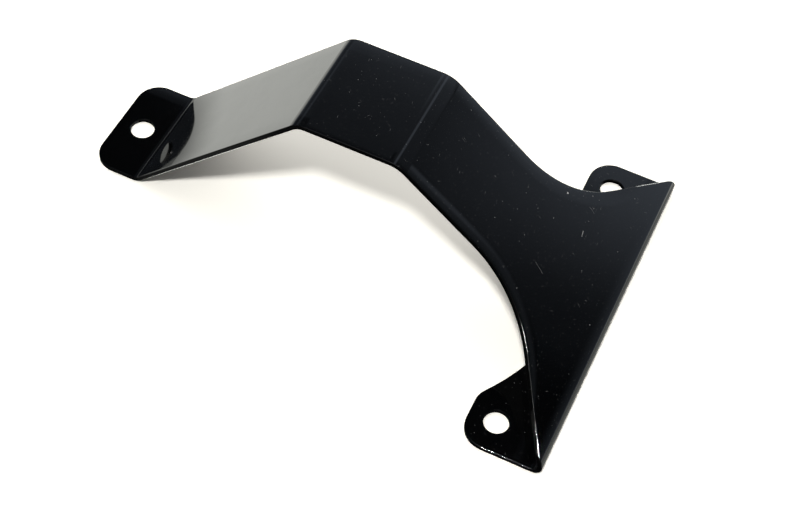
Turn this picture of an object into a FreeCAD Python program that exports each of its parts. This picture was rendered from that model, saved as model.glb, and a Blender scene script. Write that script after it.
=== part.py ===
import FreeCAD, Part
import math
import os

from FreeCAD import Vector

# A folded sheet-metal bracket: a narrow strap with a small foot, a sloping leg
# and a level top, which runs down into a plate that flares out and doubles back
# along the ground as a flange with two ears.
#
# The origin is the middle of the foot's hole, on the face that the foot is
# screwed down by. X runs from the foot to the flared end, Z is up, and the
# bracket is the same on both sides of the plane Y = 0. All sizes are in mm.

# Sheet, over its coat of paint, and the rounding of its cut edges
sheet = 1.35
edge_round = 0.25

# Strap
strap_width = 32.0
foot_length = 13.85
leg_angle = 45.75
height = 49.9
top_length = 27.2
plate_angle = 38.95

# Inner radius of each fold
foot_fold = 3.2
leg_fold = 4.3
plate_fold = 6.2
end_fold = 1.45

# Flare of the plate: a hollow arc and a straight stretch out to a rounded tip,
# whose sharp corner would lie a little way past the start of the last fold
flare_width = 98.5
flare_radius = 35.0
flare_angle = 50.8
tip_offset = 0.48
tip_radius = 6.0
tip_turn = 90.0

# Flange that lies on the ground: an ear at each side of a narrow web
ear_reach = 22.35
ear_width = 13.9
web_reach = 10.65
corner_radius = 6.4

# Screw holes and the small chamfer at their rims
hole_radius = 3.25
hole_chamfer = 0.2
foot_hole_inset = 6.93
ear_hole_inset = 7.2
ear_hole_side_inset = 8.4

# Room that a cutting shape has past the face it cuts through
overrun = 2.0
fold_overrun = end_fold / 2

# Sharp corners of the sheet's show face, in the plane Y = 0
leg_slope = math.radians(leg_angle)
plate_slope = math.radians(plate_angle)
foot_corner = foot_length - foot_hole_inset
first_crest = foot_corner + (height - sheet) / math.tan(leg_slope)
second_crest = first_crest + top_length
ground_corner = second_crest + height / math.tan(plate_slope)

# The last fold turns by the plate's slope short of a half turn, and its outer
# face touches the ground straight below its centre
end_outer = end_fold + sheet
end_setback = end_outer / math.tan(plate_slope / 2)
end_centre = ground_corner - end_setback
far_end = end_centre + end_outer
ear_end = far_end - ear_reach
plate_length = height / math.sin(plate_slope) - end_setback

# Outline of the flare on the plate's own plane: u runs down the plate from the
# sharp corner of its fold, and v runs out from the middle line
half_strap = strap_width / 2
half_flare = flare_width / 2
flare_slope = math.radians(flare_angle)
tip_corner_u = plate_length + tip_offset
arc_end_v = half_strap + flare_radius * (1 - math.cos(flare_slope))
arc_end_u = tip_corner_u - (half_flare - arc_end_v) / math.tan(flare_slope)
flare_start = arc_end_u - flare_radius * math.sin(flare_slope)
tip_centre_u = tip_corner_u + tip_radius * math.tan(flare_slope / 2)
tip_centre_v = half_flare - tip_radius

# Where the plate ends and the last fold starts, the tip's arc still climbs at
# this angle, and the plate is this wide
fold_climb = math.asin((tip_centre_u - plate_length) / tip_radius)
fold_start_v = tip_centre_v + tip_radius * math.cos(fold_climb)


def show_face_corners():
    """Corners of the show face from the foot's end to the ears' end."""
    return [
        Vector(-foot_hole_inset, 0, sheet),
        Vector(foot_corner, 0, sheet),
        Vector(first_crest, 0, height),
        Vector(second_crest, 0, height),
        Vector(ground_corner, 0, 0),
        Vector(ear_end, 0, 0),
    ]


def under_side(start, end):
    """Unit vector from a run of the show face towards the sheet's other face."""
    along = (end - start).normalize()
    return Vector(along.z, 0, -along.x)


def back_face_corners(corners):
    """The same corners, one sheet thickness behind the show face."""
    normals = [under_side(a, b) for a, b in zip(corners, corners[1:])]
    before = normals[:1] + normals
    after = normals + normals[-1:]
    back = []
    for corner, first, second in zip(corners, before, after):
        mitre = (first + second) * (sheet / (1 + first.dot(second)))
        back.append(corner + mitre)
    return back


def rounded_line(corners, radii):
    """Straight runs between the corners, with a tangent arc at each inner one."""
    edges = []
    start = corners[0]
    for before, corner, after, radius in zip(corners, corners[1:], corners[2:], radii):
        back = (before - corner).normalize()
        ahead = (after - corner).normalize()
        half_angle = back.getAngle(ahead) / 2
        setback = radius / math.tan(half_angle)
        middle = (back + ahead).normalize() * (radius / math.sin(half_angle) - radius)
        enter = corner + back * setback
        leave = corner + ahead * setback
        edges.append(Part.LineSegment(start, enter).toShape())
        edges.append(Part.Arc(enter, corner + middle, leave).toShape())
        start = leave
    edges.append(Part.LineSegment(start, corners[-1]).toShape())
    return edges


def folded_strip():
    """The folded sheet at its full width all along, before its sides are cut."""
    show = show_face_corners()
    back = back_face_corners(show)
    show_radii = [foot_fold, leg_fold + sheet, plate_fold + sheet, end_outer]
    back_radii = [foot_fold + sheet, leg_fold, plate_fold, end_fold]
    caps = [
        Part.LineSegment(show[0], back[0]).toShape(),
        Part.LineSegment(show[-1], back[-1]).toShape(),
    ]
    edges = rounded_line(show, show_radii) + rounded_line(back, back_radii) + caps
    section = Part.Face(Part.Wire(Part.__sortEdges__(edges)))
    section.translate(Vector(0, -half_flare, 0))
    return section.extrude(Vector(0, flare_width, 0))


def strap_waste():
    """What is cut away beside the foot, the leg, the top and the plate's head."""
    start = -foot_hole_inset - overrun
    end = second_crest + flare_start / 2 * math.cos(plate_slope)
    width = half_flare - half_strap + overrun
    corner = Vector(start, half_strap, -overrun)
    return Part.makeBox(end - start, width, height + 2 * overrun, corner)


def arc_point(centre_u, centre_v, radius, angle):
    """Point of an arc in the plate's plane, where its tangent has that angle to u."""
    return Vector(centre_u - radius * math.sin(angle), centre_v + radius * math.cos(angle), 0)


def flare_waste():
    """What is cut away beside the plate, square to it, down to the last fold."""
    hollow = (flare_start, half_strap + flare_radius, -flare_radius)
    tip = (tip_centre_u, tip_centre_v, tip_radius)
    head = Vector(flare_start / 4, half_strap, 0)
    arc_start = arc_point(*hollow, 0)
    arc_end = arc_point(*hollow, flare_slope)
    tip_start = arc_point(*tip, flare_slope)
    tip_middle = arc_point(*tip, (flare_slope + fold_climb) / 2)
    fold_start = arc_point(*tip, fold_climb)
    outer_end = Vector(plate_length, half_flare + overrun, 0)
    outer_head = Vector(head.x, half_flare + overrun, 0)
    outline = Part.Wire([
        Part.LineSegment(head, arc_start).toShape(),
        Part.Arc(arc_start, arc_point(*hollow, flare_slope / 2), arc_end).toShape(),
        Part.LineSegment(arc_end, tip_start).toShape(),
        Part.Arc(tip_start, tip_middle, fold_start).toShape(),
        Part.LineSegment(fold_start, outer_end).toShape(),
        Part.LineSegment(outer_end, outer_head).toShape(),
        Part.LineSegment(outer_head, head).toShape(),
    ])
    waste = Part.Face(outline).extrude(Vector(0, 0, sheet + 2 * fold_overrun))
    waste.translate(Vector(0, 0, -sheet - fold_overrun))
    waste.rotate(Vector(0, 0, 0), Vector(0, 1, 0), plate_angle)
    waste.translate(Vector(second_crest, 0, height))
    return waste


def tip_edge(radius):
    """The sheet's edge round the last fold, at one radius of the fold.

    It leaves the plate in line with the tip's arc and ends in line with the side
    of the ear, so it is a cubic in the angle that it has turned through.
    """
    turn = math.radians(tip_turn)
    rise = half_flare - fold_start_v
    pull = radius * turn * math.tan(fold_climb)
    share = [step / 6 for step in range(7)]
    points = []
    for t in share:
        v = fold_start_v + rise * (3 * t**2 - 2 * t**3) + pull * (t**3 - 2 * t**2 + t)
        angle = math.pi / 2 - plate_slope - turn * t
        x = end_centre + radius * math.cos(angle)
        z = end_outer + radius * math.sin(angle)
        points.append(Vector(x, v, z))
    first = math.pi / 2 - plate_slope
    last = first - turn
    leave = Vector(radius * turn * math.sin(first), pull, -radius * turn * math.cos(first))
    arrive = Vector(radius * turn * math.sin(last), 0, -radius * turn * math.cos(last))
    curve = Part.BSplineCurve()
    curve.interpolate(
        Points=points, Parameters=share, InitialTangent=leave, FinalTangent=arrive, Scale=False
    )
    return curve.toShape()


def tip_waste():
    """What is cut away beside the last fold, square to the sheet all the way round."""
    inside = tip_edge(end_fold - fold_overrun)
    outside = tip_edge(end_outer + fold_overrun)
    wall = Part.makeRuledSurface(inside, outside)
    return wall.extrude(Vector(0, half_flare - fold_start_v + overrun, 0))


def scoop():
    """Round hollow between the ears, which leaves a narrow web at the last fold."""
    half_mouth = half_flare - ear_width
    depth = ear_reach - web_reach
    radius = (half_mouth**2 + depth**2) / (2 * depth)
    centre = ear_end + depth - radius
    drum = Part.makeCylinder(radius, 2 * end_outer, Vector(centre, 0, -end_outer))
    corner = Vector(ear_end - overrun, -half_flare, -end_outer)
    past_ear_ends = Part.makeBox(radius, flare_width, 2 * end_outer, corner)
    return drum.common(past_ear_ends)


def holes():
    """One round hole in the foot and one in each ear."""
    ear_x = ear_end + ear_hole_inset
    ear_y = half_flare - ear_hole_side_inset
    places = [Vector(0, 0, 0), Vector(ear_x, ear_y, 0), Vector(ear_x, -ear_y, 0)]
    down = Vector(0, 0, -overrun)
    return [Part.makeCylinder(hole_radius, sheet + 2 * overrun, at + down) for at in places]


def plan_corners(solid):
    """Upright edges at the ends of the foot and of the ears."""
    return [
        edge for edge in solid.Edges
        if abs(edge.tangentAt(edge.FirstParameter).z) > 0.99
        and edge.BoundBox.ZMax < sheet + edge_round
    ]


def sharp_edges(solid):
    """Edges where two faces meet at an angle, which are those of the cut walls."""
    found = []
    for edge in solid.Edges:
        faces = solid.ancestorsOfType(edge, Part.Face)
        middle = edge.valueAt((edge.FirstParameter + edge.LastParameter) / 2)
        normals = [face.normalAt(*face.Surface.parameter(middle)) for face in faces]
        if normals[0].getAngle(normals[-1]) > math.radians(30):
            found.append(edge)
    return found


def hole_rims(solid):
    """The round edges at both ends of every hole."""
    return [
        edge for edge in solid.Edges
        if isinstance(edge.Curve, Part.Circle)
        and edge.isClosed()
        and abs(edge.Curve.Radius - hole_radius) < hole_chamfer
    ]


def bracket():
    """The strip with its sides cut, its corners rounded, and its holes."""
    middle = Vector(0, 0, 0)
    across = Vector(0, 1, 0)
    solid = folded_strip().cut(scoop())
    for waste in (strap_waste(), flare_waste(), tip_waste()):
        solid = solid.cut([waste, waste.mirror(middle, across)])
    solid = solid.makeFillet(corner_radius, plan_corners(solid)).removeSplitter()
    solid = solid.makeFillet(edge_round, sharp_edges(solid)).cut(holes())
    return solid.makeChamfer(hole_chamfer, hole_rims(solid)).Solids[0]


os.makedirs("parts", exist_ok=True)
model = bracket()
model.exportStep("parts/bracket.step")
size = model.optimalBoundingBox(True, False)
print("bracket:", len(model.Faces), "faces, volume", round(model.Volume), "cubic mm")
print("length", round(size.XLength, 2), "width", round(size.YLength, 2), "height", round(size.ZLength, 2))
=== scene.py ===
# %% [markdown]
# This lesson dresses a folded sheet-metal bracket that is painted gloss black.
# Its shape is finished in CAD, so Blender's work is all in the paint, the small
# marks on it, and the white table and soft light that the paint mirrors.
# The frame comes first: one node, in metres.

# %% Load the bracket
import math

import bpy
from mathutils import Matrix, Vector

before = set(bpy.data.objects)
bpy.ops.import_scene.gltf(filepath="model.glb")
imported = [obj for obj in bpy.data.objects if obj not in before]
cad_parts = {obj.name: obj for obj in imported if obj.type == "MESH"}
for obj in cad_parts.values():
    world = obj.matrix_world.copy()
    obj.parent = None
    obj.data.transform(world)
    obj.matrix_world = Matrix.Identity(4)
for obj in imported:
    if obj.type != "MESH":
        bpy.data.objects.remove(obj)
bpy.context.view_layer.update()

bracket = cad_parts["bracket"]

# %% [markdown]
# The camera stands in front of the bracket, to the right, and looks steeply
# down. Its place could be found by trial, but the straight edges and round holes
# of a sheet part give it exactly, so it is written here as the turn, the tilt,
# the roll and the distance from the point that it looks at.

# %% The camera
image_width = 800
focal_length_in_pixels = 1631.7
looked_at = Vector((0.0834, -0.0133, 0.0096))
distance = 0.4167
turn = math.radians(19.53)
tilt = math.radians(54.28)
roll = math.radians(6.50)

ahead = Vector((
    -math.sin(turn) * math.cos(tilt),
    math.cos(turn) * math.cos(tilt),
    -math.sin(tilt),
))
level_right = Vector((math.cos(turn), math.sin(turn), 0))
level_up = level_right.cross(ahead)
right = level_right * math.cos(roll) + level_up * math.sin(roll)
up = right.cross(ahead)
axes = Matrix((right, up, -ahead)).transposed().to_4x4()

camera = bpy.data.objects.new("camera", bpy.data.cameras.new("camera"))
bpy.context.scene.collection.objects.link(camera)
camera.data.sensor_width = 36
camera.data.lens = focal_length_in_pixels * camera.data.sensor_width / image_width
camera.data.clip_start = 0.01
camera.matrix_world = Matrix.Translation(looked_at - ahead * distance) @ axes
bpy.context.scene.camera = camera
bpy.context.scene.view_settings.view_transform = "Standard"
print("camera at", [round(c, 3) for c in camera.location], "lens", round(camera.data.lens, 1), "mm")

# %% [markdown]
# A shader is a small sum, and a sum reads best as one. This class wraps the
# socket of a node, so that adding or multiplying two of them adds the Math node
# that does it. One method makes every other node: its settings come first, then
# the values or links of its sockets. Most of this lesson's sums are soft steps
# along one coordinate, so those have short names of their own.


# %% Shader sums
class Socket:
    """An output of a node, which can be added to, multiplied and compared."""

    def __init__(self, tree, socket):
        self.tree = tree
        self.socket = socket

    def math(self, operation, *values):
        return node(self.tree, "Math", {"operation": operation}, dict(enumerate(values)))

    def __add__(self, other):
        return self.math("ADD", self, other)

    def __radd__(self, other):
        return self.math("ADD", other, self)

    def __sub__(self, other):
        return self.math("SUBTRACT", self, other)

    def __rsub__(self, other):
        return self.math("SUBTRACT", other, self)

    def __mul__(self, other):
        return self.math("MULTIPLY", self, other)

    def __rmul__(self, other):
        return self.math("MULTIPLY", other, self)

    def __truediv__(self, other):
        return self.math("DIVIDE", self, other)

    def __pow__(self, other):
        return self.math("POWER", self, other)

    def size(self):
        """The value without its sign."""
        return self.math("ABSOLUTE", self)

    def at_least(self, other):
        return self.math("MAXIMUM", self, other)

    def at_most(self, other):
        return self.math("MINIMUM", self, other)

    def smooth(self, start, end):
        """0 below start and 1 above end, with a soft step between them."""
        settings = {"interpolation_type": "SMOOTHSTEP"}
        values = {"Value": self, "From Min": start, "From Max": end}
        return node(self.tree, "MapRange", settings, values)

    def fade(self, start, end):
        """1 below start and 0 above end."""
        return 1 - self.smooth(start, end)

    def between(self, start, full, fading, end):
        """1 from full to fading, and 0 below start and above end."""
        return self.smooth(start, full) * self.fade(fading, end)


def node(tree, kind, settings=None, values=None, output=0):
    """Add one node, set it up, fill or link its sockets, and return an output."""
    made = tree.nodes.new("ShaderNode" + kind)
    for name, value in (settings or {}).items():
        setattr(made, name, value)
    for name, value in (values or {}).items():
        if isinstance(value, Socket):
            tree.links.new(value.socket, made.inputs[name])
        else:
            made.inputs[name].default_value = value
    return Socket(tree, made.outputs[output]) if len(made.outputs) else made


def split(tree, vector):
    """The X, Y and Z of a vector."""
    separate = node(tree, "SeparateXYZ", {}, {"Vector": vector}).socket.node
    return [Socket(tree, part) for part in separate.outputs]


def vector_math(tree, operation, first, second):
    """A sum of two vectors, which gives a vector or, for some sums, a value."""
    output = "Value" if operation in ("DISTANCE", "DOT_PRODUCT") else "Vector"
    return node(tree, "VectorMath", {"operation": operation}, {0: first, 1: second}, output)


def mix_colours(tree, share, first, second):
    """A Mix node set to colours, whose two colours are its sockets 6 and 7."""
    settings = {"data_type": "RGBA"}
    return node(tree, "Mix", settings, {0: share, 6: first, 7: second}, output=2)


def new_material(name):
    material = bpy.data.materials.new(name)
    material.use_nodes = True
    material.node_tree.nodes.clear()
    return material


# %% [markdown]
# Two looks of the paint depend on how near a point is to the sheet's edge and on
# the way that edge runs. Along the strap both are plain, and along the flare they
# are read from the circle that the hollow arc is part of. They could be painted on
# as a picture, but sums of the part's own coordinates stay sharp at any size.
# Past the arc the edge runs straight, and at the tip it turns along the bracket.
# The turn is the share of a cut wall's normal that points to the side there.

# %% The edges of the sheet
strap_half = 0.016
arc_radius = 0.035
arc_start = 0.10335
plate_slope = math.radians(38.95)
slope_cosine = math.cos(plate_slope)
flare_cosine = 0.632

paint = new_material("gloss_black_paint")
tree = paint.node_tree
place = node(tree, "TexCoord", output="Object")
place_x, place_y, place_z = split(tree, place)
past_start = (place_x - arc_start).at_least(0.0) / slope_cosine
aside = strap_half + arc_radius - place_y.size()
from_centre = (past_start * past_start + aside * aside) ** 0.5
to_edge = from_centre - arc_radius
turned = (aside / from_centre).at_least(flare_cosine)
at_the_tip = place_x.smooth(0.1285, 0.1310)
edge_turn = turned + (1 - turned) * at_the_tip
print("an arc of", 1000 * arc_radius, "mm starts", round(1000 * arc_start, 1), "mm from the foot's hole")

# %% [markdown]
# Gloss paint is a black ground under a clear skin, and both throw light back.
# Principled's own reflection stands for the ground and its coat for the skin.
# The cut walls of the sheet are another matter: the paint runs thin on them and
# dries dull, and so it does underneath, where less of the spray lands. Walls are
# told apart by their normals, because every face of the folded sheet itself stands
# square to the bracket's middle plane. Along the flare a wall's normal points less
# to the side, so it is divided by the turn of the edge first. Normals are smoothed
# over the rounded edges, so the step at which a wall begins decides whether such an
# edge is dull or draws a bright line: it does along the leg and the flare, and
# doesn't along the level top.

# %% Where the paint is glossy
facing = node(tree, "NewGeometry", output="Normal")
facing_y, facing_z = split(tree, facing)[1:]
sideways = facing_y.size() / edge_turn
downward = (0 - facing_z).smooth(0.2, 0.5)

foot = place_x.fade(0.0065, 0.0085)
leg = place_x.between(0.006, 0.012, 0.046, 0.054)
dull_rim = place_x.between(0.052, 0.058, 0.102, 0.111)
late_step = sideways.smooth(0.60, 0.70)
early_step = sideways.smooth(0.22, 0.32)
side_wall = late_step * (1 - dull_rim) + early_step * dull_rim
dull_wall = side_wall * (1 - leg) + 0.95 * sideways.smooth(0.95, 0.985) * leg
dull_below = 0.92 * downward * (1 - leg * sideways.smooth(0.3, 0.5))
dullness = dull_wall.at_least(dull_below)
print("cut walls and undersides are duller than the faces")

# %% [markdown]
# A bracket that lay in a workshop carries dust and fine scratches, and on black
# gloss every grain shows. Grains are the middles of Voronoi cells, with most cells
# left empty by a random number that each cell has. A scratch is the same thing in
# coordinates that are squeezed along one direction, so that round grains are drawn
# out into hairs. Both are worked out in the part's own coordinates, at real size.
# A spot and a stroke between two points do for the marks that are set one by one.


# %% Kinds of mark
def grains(tree, place, per_metre, radius, kept):
    """Round grains of a radius in metres, seen from above, in a share of the cells."""
    settings = {"feature": "F1", "voronoi_dimensions": "2D"}
    values = {"Vector": place, "Scale": per_metre}
    distance = node(tree, "TexVoronoi", settings, values, output="Distance")
    colour = node(tree, "TexVoronoi", settings, values, output="Color")
    lot = node(tree, "SeparateColor", {}, {"Color": colour}, output=0)
    edge = radius * per_metre
    return distance.fade(0.4 * edge, edge) * lot.smooth(1 - kept, 1.02)


def hairs(tree, place, angle, per_metre, stretch, radius, kept):
    """Straight scratches along one direction of the sheet."""
    values = {"Vector": place, "Angle": math.radians(angle)}
    rotated = node(tree, "VectorRotate", {"rotation_type": "Z_AXIS"}, values)
    drawn_out = vector_math(tree, "MULTIPLY", rotated, (1 / stretch, 1.0, 1.0))
    return grains(tree, drawn_out, per_metre, radius, kept)


def near(tree, place, centre, inner, outer):
    """1 within inner metres of a point and 0 beyond outer."""
    return vector_math(tree, "DISTANCE", place, centre).fade(inner, outer)


def stroke(tree, place, start, end, width):
    """1 along a straight scratch between two points and 0 beside it."""
    run = Vector(end) - Vector(start)
    from_start = vector_math(tree, "SUBTRACT", place, start)
    share = vector_math(tree, "DOT_PRODUCT", from_start, run / run.length_squared)
    share = share.at_least(0.0).at_most(1.0)
    reached = node(tree, "VectorMath", {"operation": "SCALE"}, {0: run, "Scale": share})
    return vector_math(tree, "DISTANCE", from_start, reached).fade(0.4 * width, width)


# %% [markdown]
# Dust lies on the level top and the plate in a few coarse grains and many fine
# ones, and the steep leg keeps hardly any. One slow noise could stand for it, but
# it would look like a stain. Scratches stray over the sheet in three directions,
# and crowd where the bracket was handled, so a second, finer set is kept to a few
# round places.

# %% Dust and scratches
past_the_leg = 0.12 + 0.88 * place_x.smooth(0.050, 0.058)
coarse_grains = grains(tree, place, per_metre=260.0, radius=0.00013, kept=0.35)
fine_grains = grains(tree, place, per_metre=750.0, radius=0.00012, kept=0.45)
dust = past_the_leg * 0.42 * coarse_grains + past_the_leg * 0.12 * fine_grains

on_the_top = near(tree, place, (0.0713, 0.0024, 0.0499), inner=0.0015, outer=0.0050)
mid_plate = near(tree, place, (0.1180, -0.0064, 0.0203), inner=0.0015, outer=0.0045)
near_far_ear = near(tree, place, (0.1226, 0.0191, 0.0166), inner=0.0010, outer=0.0030)
scratched_places = on_the_top + mid_plate + near_far_ear
scratches = 0
for angle in (25, -50, 80):
    stray = hairs(
        tree, place, angle, per_metre=900.0, stretch=9.0, radius=0.00007, kept=0.14)
    crowded = hairs(
        tree, place, angle + 20, per_metre=1300.0, stretch=8.0, radius=0.00008, kept=0.4)
    scratches = 0.17 * past_the_leg * stray + scratches
    scratches = 0.14 * scratched_places * crowded + scratches
print("grains about 0.1 mm wide, and scratches about a millimetre long")

# %% [markdown]
# Some marks are large enough to be known one by one. No chance pattern would put
# them where they are, so each is a spot or a stroke at its own point of the plate.
# Marks are pale and matt, and they are only laid on faces that look upwards.

# %% Larger marks
fleck_core = 0.00006
fleck_rim = 0.00020
bright_fleck = near(tree, place, (0.1157, 0.0173, 0.0222), inner=0.00016, outer=0.00034)
fleck_by_far_ear = near(tree, place, (0.1212, 0.0230, 0.0177), fleck_core, outer=0.00022)
fleck_on_flare = near(tree, place, (0.1154, 0.0080, 0.0224), fleck_core, fleck_rim)
fleck_by_bend = near(tree, place, (0.1324, 0.0160, 0.0087), fleck_core, fleck_rim)
low_fleck = near(tree, place, (0.1339, -0.0078, 0.0075), fleck_core, fleck_rim)
long_fleck = stroke(
    tree, place, (0.1229, 0.0122, 0.0164), (0.1232, 0.0106, 0.0162), width=0.00020)
long_scratch = stroke(
    tree, place, (0.1164, -0.0063, 0.0216), (0.1189, -0.0072, 0.0196), width=0.00013)
scratch_by_far_ear = stroke(
    tree, place, (0.1217, 0.0196, 0.0173), (0.1232, 0.0192, 0.0161), width=0.00012)
faint_flecks = fleck_by_far_ear + fleck_on_flare + long_fleck + fleck_by_bend + low_fleck
flecks = bright_fleck + 0.5 * faint_flecks + 0.15 * (long_scratch + scratch_by_far_ear)

on_show = facing_z.smooth(0.3, 0.6)
marks = ((dust + scratches + flecks) * on_show).at_most(1.0)
print("six larger flecks and two long scratches")

# %% [markdown]
# Shears and lasers leave the last millimetres of a sheet rolled over, so its faces
# turn down a little towards both edges. It is too slight to see as shape, but a
# mirror shows it: the near edges of the faces go dark and the far ones light. The
# plate softens in the same way before its last fold. Here each is a bump that falls
# away as the square of the distance to the edge or to the fold.

# %% The rolled edges
roll_width = 0.0042
bend_start = 0.1370
bend_roll_width = 0.0035
rolled = (1 - to_edge / roll_width).at_least(0.0).at_most(1.0)
to_bend = (bend_start - place_x) / slope_cosine
above_the_fold = place_z.smooth(0.0025, 0.0035)
bent = ((1 - to_bend / bend_roll_width) * above_the_fold).at_least(0.0).at_most(1.0)
sunk = 1.7 * rolled * rolled + bent * bent
print("edges turn down over", 1000 * roll_width, "mm, the last fold over", 1000 * bend_roll_width)

# %% [markdown]
# Sprayed paint isn't a mirror: it dries with a faint orange peel, and hands leave
# smudges that blur it here and there. The peel is a fine noise in a Bump node, and
# the smudges are a slow noise that the roughness and the skin feel. The foot is
# darker than the rest, so it goes without the skin. Last, one Mix Shader lays the
# dull paint over the gloss, and another lays the dust over both.

# %% The paint
peel = node(tree, "TexNoise", {}, {"Vector": place, "Scale": 700.0, "Detail": 1.0})
peel_bump = node(tree, "Bump", {}, {"Strength": 0.05, "Distance": 0.00002, "Height": peel})
edge_bump = {"Strength": 1.0, "Distance": 0.0001, "Height": 0 - sunk, "Normal": peel_bump}
bump = node(tree, "Bump", {}, edge_bump)
smudge_look = {"Vector": place, "Scale": 90.0, "Detail": 3.0, "Roughness": 0.6}
smudges = node(tree, "TexNoise", {}, smudge_look)
gloss = node(tree, "BsdfPrincipled", {}, {
    "Base Color": (0.0005, 0.0006, 0.0008, 1),
    "Roughness": 0.04 + 0.06 * smudges,
    "IOR": 1.8,
    "Coat Weight": (0.96 + 0.08 * smudges.smooth(0.35, 0.65)) * (1 - foot),
    "Coat Roughness": 0.03,
    "Coat IOR": 1.5,
    "Normal": bump,
})
dull = node(tree, "BsdfPrincipled", {}, {
    "Base Color": (0.0006, 0.0006, 0.0008, 1),
    "Roughness": 0.5,
    "IOR": 1.1,
})
dusty = node(tree, "BsdfPrincipled", {}, {
    "Base Color": (0.36, 0.36, 0.35, 1),
    "Roughness": 0.9,
    "IOR": 1.4,
})
painted = node(tree, "MixShader", {}, {0: dullness, 1: gloss, 2: dull})
finish = node(tree, "MixShader", {}, {0: marks, 1: painted, 2: dusty})
node(tree, "OutputMaterial", {}, {"Surface": finish})
bracket.data.materials.clear()
bracket.data.materials.append(paint)
print("paint made of", len(tree.nodes), "nodes")

# %% [markdown]
# The bracket stands on one white sheet. It lies a hair under the feet, so that the
# two surfaces don't flicker through each other. It is no part of the bracket.

# %% The table
reach = 3.0
just_below = 0.00002
table_mesh = bpy.data.meshes.new("table")
corners = [(-reach, -reach, 0), (reach, -reach, 0), (reach, reach, 0), (-reach, reach, 0)]
table_mesh.from_pydata(corners, [], [(0, 1, 2, 3)])
table = bpy.data.objects.new("table", table_mesh)
table.location.z = -just_below
bpy.context.scene.collection.objects.link(table)
print("table", 2 * reach, "m wide, just under the bracket's feet")

# %% [markdown]
# Black gloss shows its surroundings and little else, so what it mirrors does more
# for the likeness than the paint's own colour. The studio had a bright table at the
# left and behind, and dark things in front. White card and black flags could be set
# up as objects, but they would throw light and shadow too. Here the sheet itself
# has a pattern of glow by place, which glossy rays alone will see.

# %% What the paint mirrors of the table
white = new_material("white_table")
tree = white.node_tree
spot = node(tree, "TexCoord", output="Object")
spot_x, spot_y = split(tree, spot)[:2]
from_foot = vector_math(tree, "DISTANCE", spot, (-0.001, 0.0, 0.0))

left = spot_x.fade(0.01, 0.06)
behind = spot_y.smooth(-0.05, 0.0)
past_the_end = spot_x.smooth(0.136, 0.140)
# The glow is dimmed close to the foot: a painted shadow of the foot in what the paint mirrors.
painted_foot_shadow = 0.25 + 0.75 * from_foot.smooth(0.004, 0.040)
far_away = 1 - 0.4 * from_foot.smooth(0.10, 0.60)
mirrored = (0.05 + 0.25 * past_the_end + 0.84 * left * behind) * painted_foot_shadow * far_away

leg_length = spot_x.between(0.004, 0.010, 0.034, 0.046)
beside_the_leg = leg_length * spot_y.fade(-0.018, -0.012) * spot_y.smooth(-0.052, -0.040)
under_the_leg = leg_length * spot_y.between(-0.016, -0.012, -0.004, 0.0)
behind_the_plate = (1 - left) * spot_y.smooth(0.052, 0.070)
behind_the_tip = spot_x.between(0.110, 0.125, 0.138, 0.144)
behind_the_tip = behind_the_tip * spot_y.between(0.052, 0.058, 0.13, 0.15)
mirrored = mirrored + 0.6 * beside_the_leg * from_foot.smooth(0.015, 0.050)
mirrored = mirrored + 0.7 * behind_the_plate
mirrored = mirrored + 4.0 * under_the_leg + 4.5 * behind_the_tip
print("the table glows most under the leg and behind the tip")

# %% [markdown]
# Light Path gives the sheet its two looks. The camera sees it matt white with the
# bracket's own shadow, in a colour whiter than paper, and plain white further away,
# where no shadow reaches. Glossy rays see the glow instead. Its amount is the
# factor of a Mix Shader between a dark and a bright emission.

# %% The table's two looks
eye = node(tree, "LightPath", output="Is Camera Ray")
mirror = node(tree, "LightPath", output="Is Glossy Ray")
paper_white = (0.9, 0.88, 0.80, 1)
whiter_than_paper = (1.41, 1.37, 1.26, 1)
sheet_colour = mix_colours(tree, eye, paper_white, whiter_than_paper)
matt = node(tree, "BsdfDiffuse", {}, {"Color": sheet_colour})
plain_white = node(tree, "Emission", {}, {"Color": (1, 1, 1, 1), "Strength": 1.0})
beyond_the_shadow = eye * from_foot.smooth(0.25, 0.60)
seen = node(tree, "MixShader", {}, {0: beyond_the_shadow, 1: matt, 2: plain_white})

brightest = 5.0
glow_colour = (0.985, 1, 0.94, 1)
unlit = node(tree, "Emission", {}, {"Color": (0, 0, 0, 1), "Strength": 0.0})
glowing = node(tree, "Emission", {}, {"Color": glow_colour, "Strength": brightest})
in_mirror = node(tree, "MixShader", {}, {0: mirrored * (1 / brightest), 1: unlit, 2: glowing})
both = node(tree, "MixShader", {}, {0: mirror, 1: seen, 2: in_mirror})
node(tree, "OutputMaterial", {}, {"Surface": both})
table_mesh.materials.append(white)
print("table made of", len(tree.nodes), "nodes")

# %% [markdown]
# Above the table the paint mirrors a dim room. Each flat face shows only a few
# directions of it, so the room is made wall by wall, as sums of the direction that
# a ray takes. A picture of a room could be wrapped around instead, but a sum can be
# tuned for one face and leaves the others alone. In the upper room a back wall and
# a skylight stand in the level top, a tall pane draws the fine line along the
# second crest, and a ceiling tells the faces apart from other sides.

# %% The upper room
world = bpy.data.worlds.new("room")
bpy.context.scene.world = world
world.use_nodes = True
tree = world.node_tree
tree.nodes.clear()
direction = node(tree, "TexCoord", output="Generated")
to_right, to_back, to_top = split(tree, direction)

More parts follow.
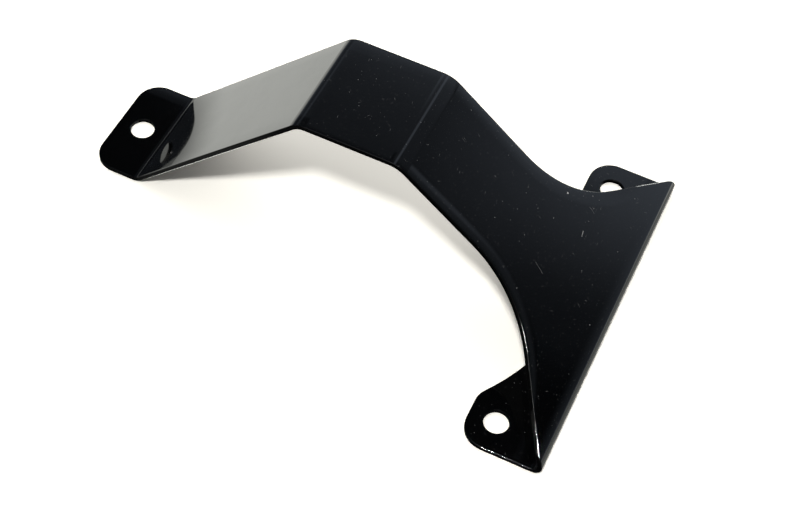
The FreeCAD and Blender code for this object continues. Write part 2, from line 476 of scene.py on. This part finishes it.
upper = to_top.smooth(0.42, 0.50)
not_overhead = (to_top - 0.4 * to_right).fade(0.85, 0.90)
brighter_strip = 0.10 * to_right.between(-0.20, -0.10, -0.07, -0.04)
pane_at_back = to_back.smooth(0.614, 0.641) * (0.06 + brighter_strip)
back_wall = 0.068 * to_back.smooth(0.538, 0.621)
over_the_top = to_right.smooth(-0.34, -0.30) * to_back.smooth(0.465, 0.505)
beside_the_top = to_right.smooth(-0.80, -0.70) * to_back.smooth(0.550, 0.570)
skylight = 0.048 * over_the_top.at_least(beside_the_top) * to_right.fade(-0.19, -0.15)
past_the_crease = 0.055 * to_right.smooth(-0.06, -0.02) * to_back.smooth(0.46, 0.52)
upper_wall = upper * not_overhead * (back_wall + pane_at_back)
upper_wall = upper_wall.at_least(upper * (skylight + past_the_crease))
far_back = 0.12 * to_back.smooth(0.66, 0.76) * to_top.smooth(0.05, 0.20)
tall_pane = 0.17 * upper * to_back.smooth(0.3, 0.5) * to_right.between(0.02, 0.06, 0.13, 0.17)
ceiling = 0.16 * to_top.smooth(0.80, 0.95) * to_back.fade(0.10, 0.35)
upper_room = upper_wall + far_back + tall_pane + ceiling
print("upper room made of", len(tree.nodes), "nodes")

# %% [markdown]
# The plate leans towards the right, so it mirrors the lower right-hand wall. That
# wall brightens towards the back, a slim pane on it stands in the plate's rolled
# edge, and a low glow in the last bend. The bends also pick up the horizon, and the
# near edges of the ears pick up a pane in front.

# %% The lower room
from_right = to_back - 0.75 * to_right
right_side = to_right.smooth(0.3, 0.6)
right_haze = 0.0246 * from_right.smooth(-0.09, -0.022)
right_glow = 0.245 * from_right.smooth(-0.025, 0.12) * to_top.fade(0.1935, 0.42)
slim_pane = 0.11 * to_back.smooth(0.51, 0.535) + 0.07 * to_back.smooth(0.44, 0.50)
slim_pane = slim_pane * to_back.fade(0.55, 0.575) * to_top.smooth(0.315, 0.362)
low_glow = 0.08 * to_top.fade(0.15, 0.245) * from_right.fade(0.0, 0.07)
right_wall = right_side * (1 - upper) * (right_haze + right_glow + slim_pane + low_glow)
left_haze = 0.006 + 0.05 * to_back.smooth(0.555, 0.580) + 0.07 * to_top.smooth(0.30, 0.40)
left_wall = (1 - right_side) * (1 - upper) * left_haze
horizon = (0.10 + 0.08 * right_side) * to_top.fade(-0.05, 0.20)
to_front = 0 - to_back
straight_ahead = (to_right + 0.03).size().fade(0.12, 0.20)
front_pane = 0.25 * to_front.smooth(0.45, 0.60) * straight_ahead * to_top.smooth(0.2, 0.4)
front_wall = 0.05 * to_front.smooth(0.1, 0.5) + front_pane
lower_room = right_wall + left_wall + horizon + front_wall
print("both rooms made of", len(tree.nodes), "nodes")

# %% [markdown]
# The world does three jobs, which Light Path keeps apart. To the camera it is plain
# white. To glossy rays it is the dim room. To matt surfaces it is a soft dome, with
# less light at the front right, straight above and at the horizon, so the shadow
# under the arch is soft and deepest beside the foot. The mirrored room is bluish,
# as daylight is, and only its front half is neutral.

# %% The world's three looks
darkest = 0.004
reflected = upper_room + lower_room + darkest

front_right = (0.7 * to_right - 0.7 * to_back).smooth(0.05, 0.40)
less_in_front = 0.40 + 0.60 * to_back.smooth(-0.3, 0.1)
less_overhead = 1 - 0.65 * to_top.smooth(0.80, 0.95)
less_at_horizon = 0.4 + 0.6 * to_top.smooth(0.15, 0.40)
dome = 1.35 * (1 - front_right) * less_in_front * less_overhead * less_at_horizon

eye = node(tree, "LightPath", output="Is Camera Ray")
mirror = node(tree, "LightPath", output="Is Glossy Ray")
strength = eye + (1 - eye) * (mirror * reflected + (1 - mirror) * dome)
bluish = (0.84, 0.96, 1.14, 1)
tint = mix_colours(tree, mirror * to_front.fade(0.0, 0.3), (1, 1, 1, 1), bluish)
glow = node(tree, "Background", {}, {"Color": tint, "Strength": strength})
node(tree, "OutputWorld", {}, {"Surface": glow})
print("room made of", len(tree.nodes), "nodes")

# %% [markdown]
# One key lamp in front and above makes the sharp edge of the shadow. The paint
# would show it as a disc, so it is kept out of the mirror. Three small lamps do the
# opposite: they show in the mirror alone, as the glints along the flare's edge and
# at the tip. Each lamp's power is set from the level of light that it gives on a
# face turned to it, so that the level stays plain at any distance.


# %% The lamps
def soft_lamp(name, direction, distance, size, level):
    """A round lamp aimed at the bracket that lights a face turned to it to the level."""
    lamp = bpy.data.lights.new(name, "AREA")
    lamp.shape = "DISK"
    lamp.size = size
    lamp.energy = level * (math.pi * distance) ** 2
    piece = bpy.data.objects.new(name, lamp)
    bpy.context.scene.collection.objects.link(piece)
    toward = Vector(direction).normalized()
    piece.location = looked_at + toward * distance
    piece.rotation_euler = toward.to_track_quat("Z", "Y").to_euler()
    print(name, "gives a level of", level, "from", [round(c, 2) for c in piece.location])
    return piece


lamp_distance = 0.9
key_lamp = soft_lamp("key_lamp", (0.08, -0.447, 0.894), lamp_distance, 0.08, 0.62)
key_lamp.visible_glossy = False
for name, direction, size, level in (
    ("tip_glint_lamp", (0.04, -0.447, 0.894), 0.055, 2.0),
    ("arc_glint_lamp", (0.106, -0.524, 0.853), 0.15, 1.2),
    ("flare_glint_lamp", (-0.067, -0.323, 0.961), 0.03, 0.3),
):
    glint_lamp = soft_lamp(name, direction, lamp_distance, size, level)
    glint_lamp.visible_diffuse = False
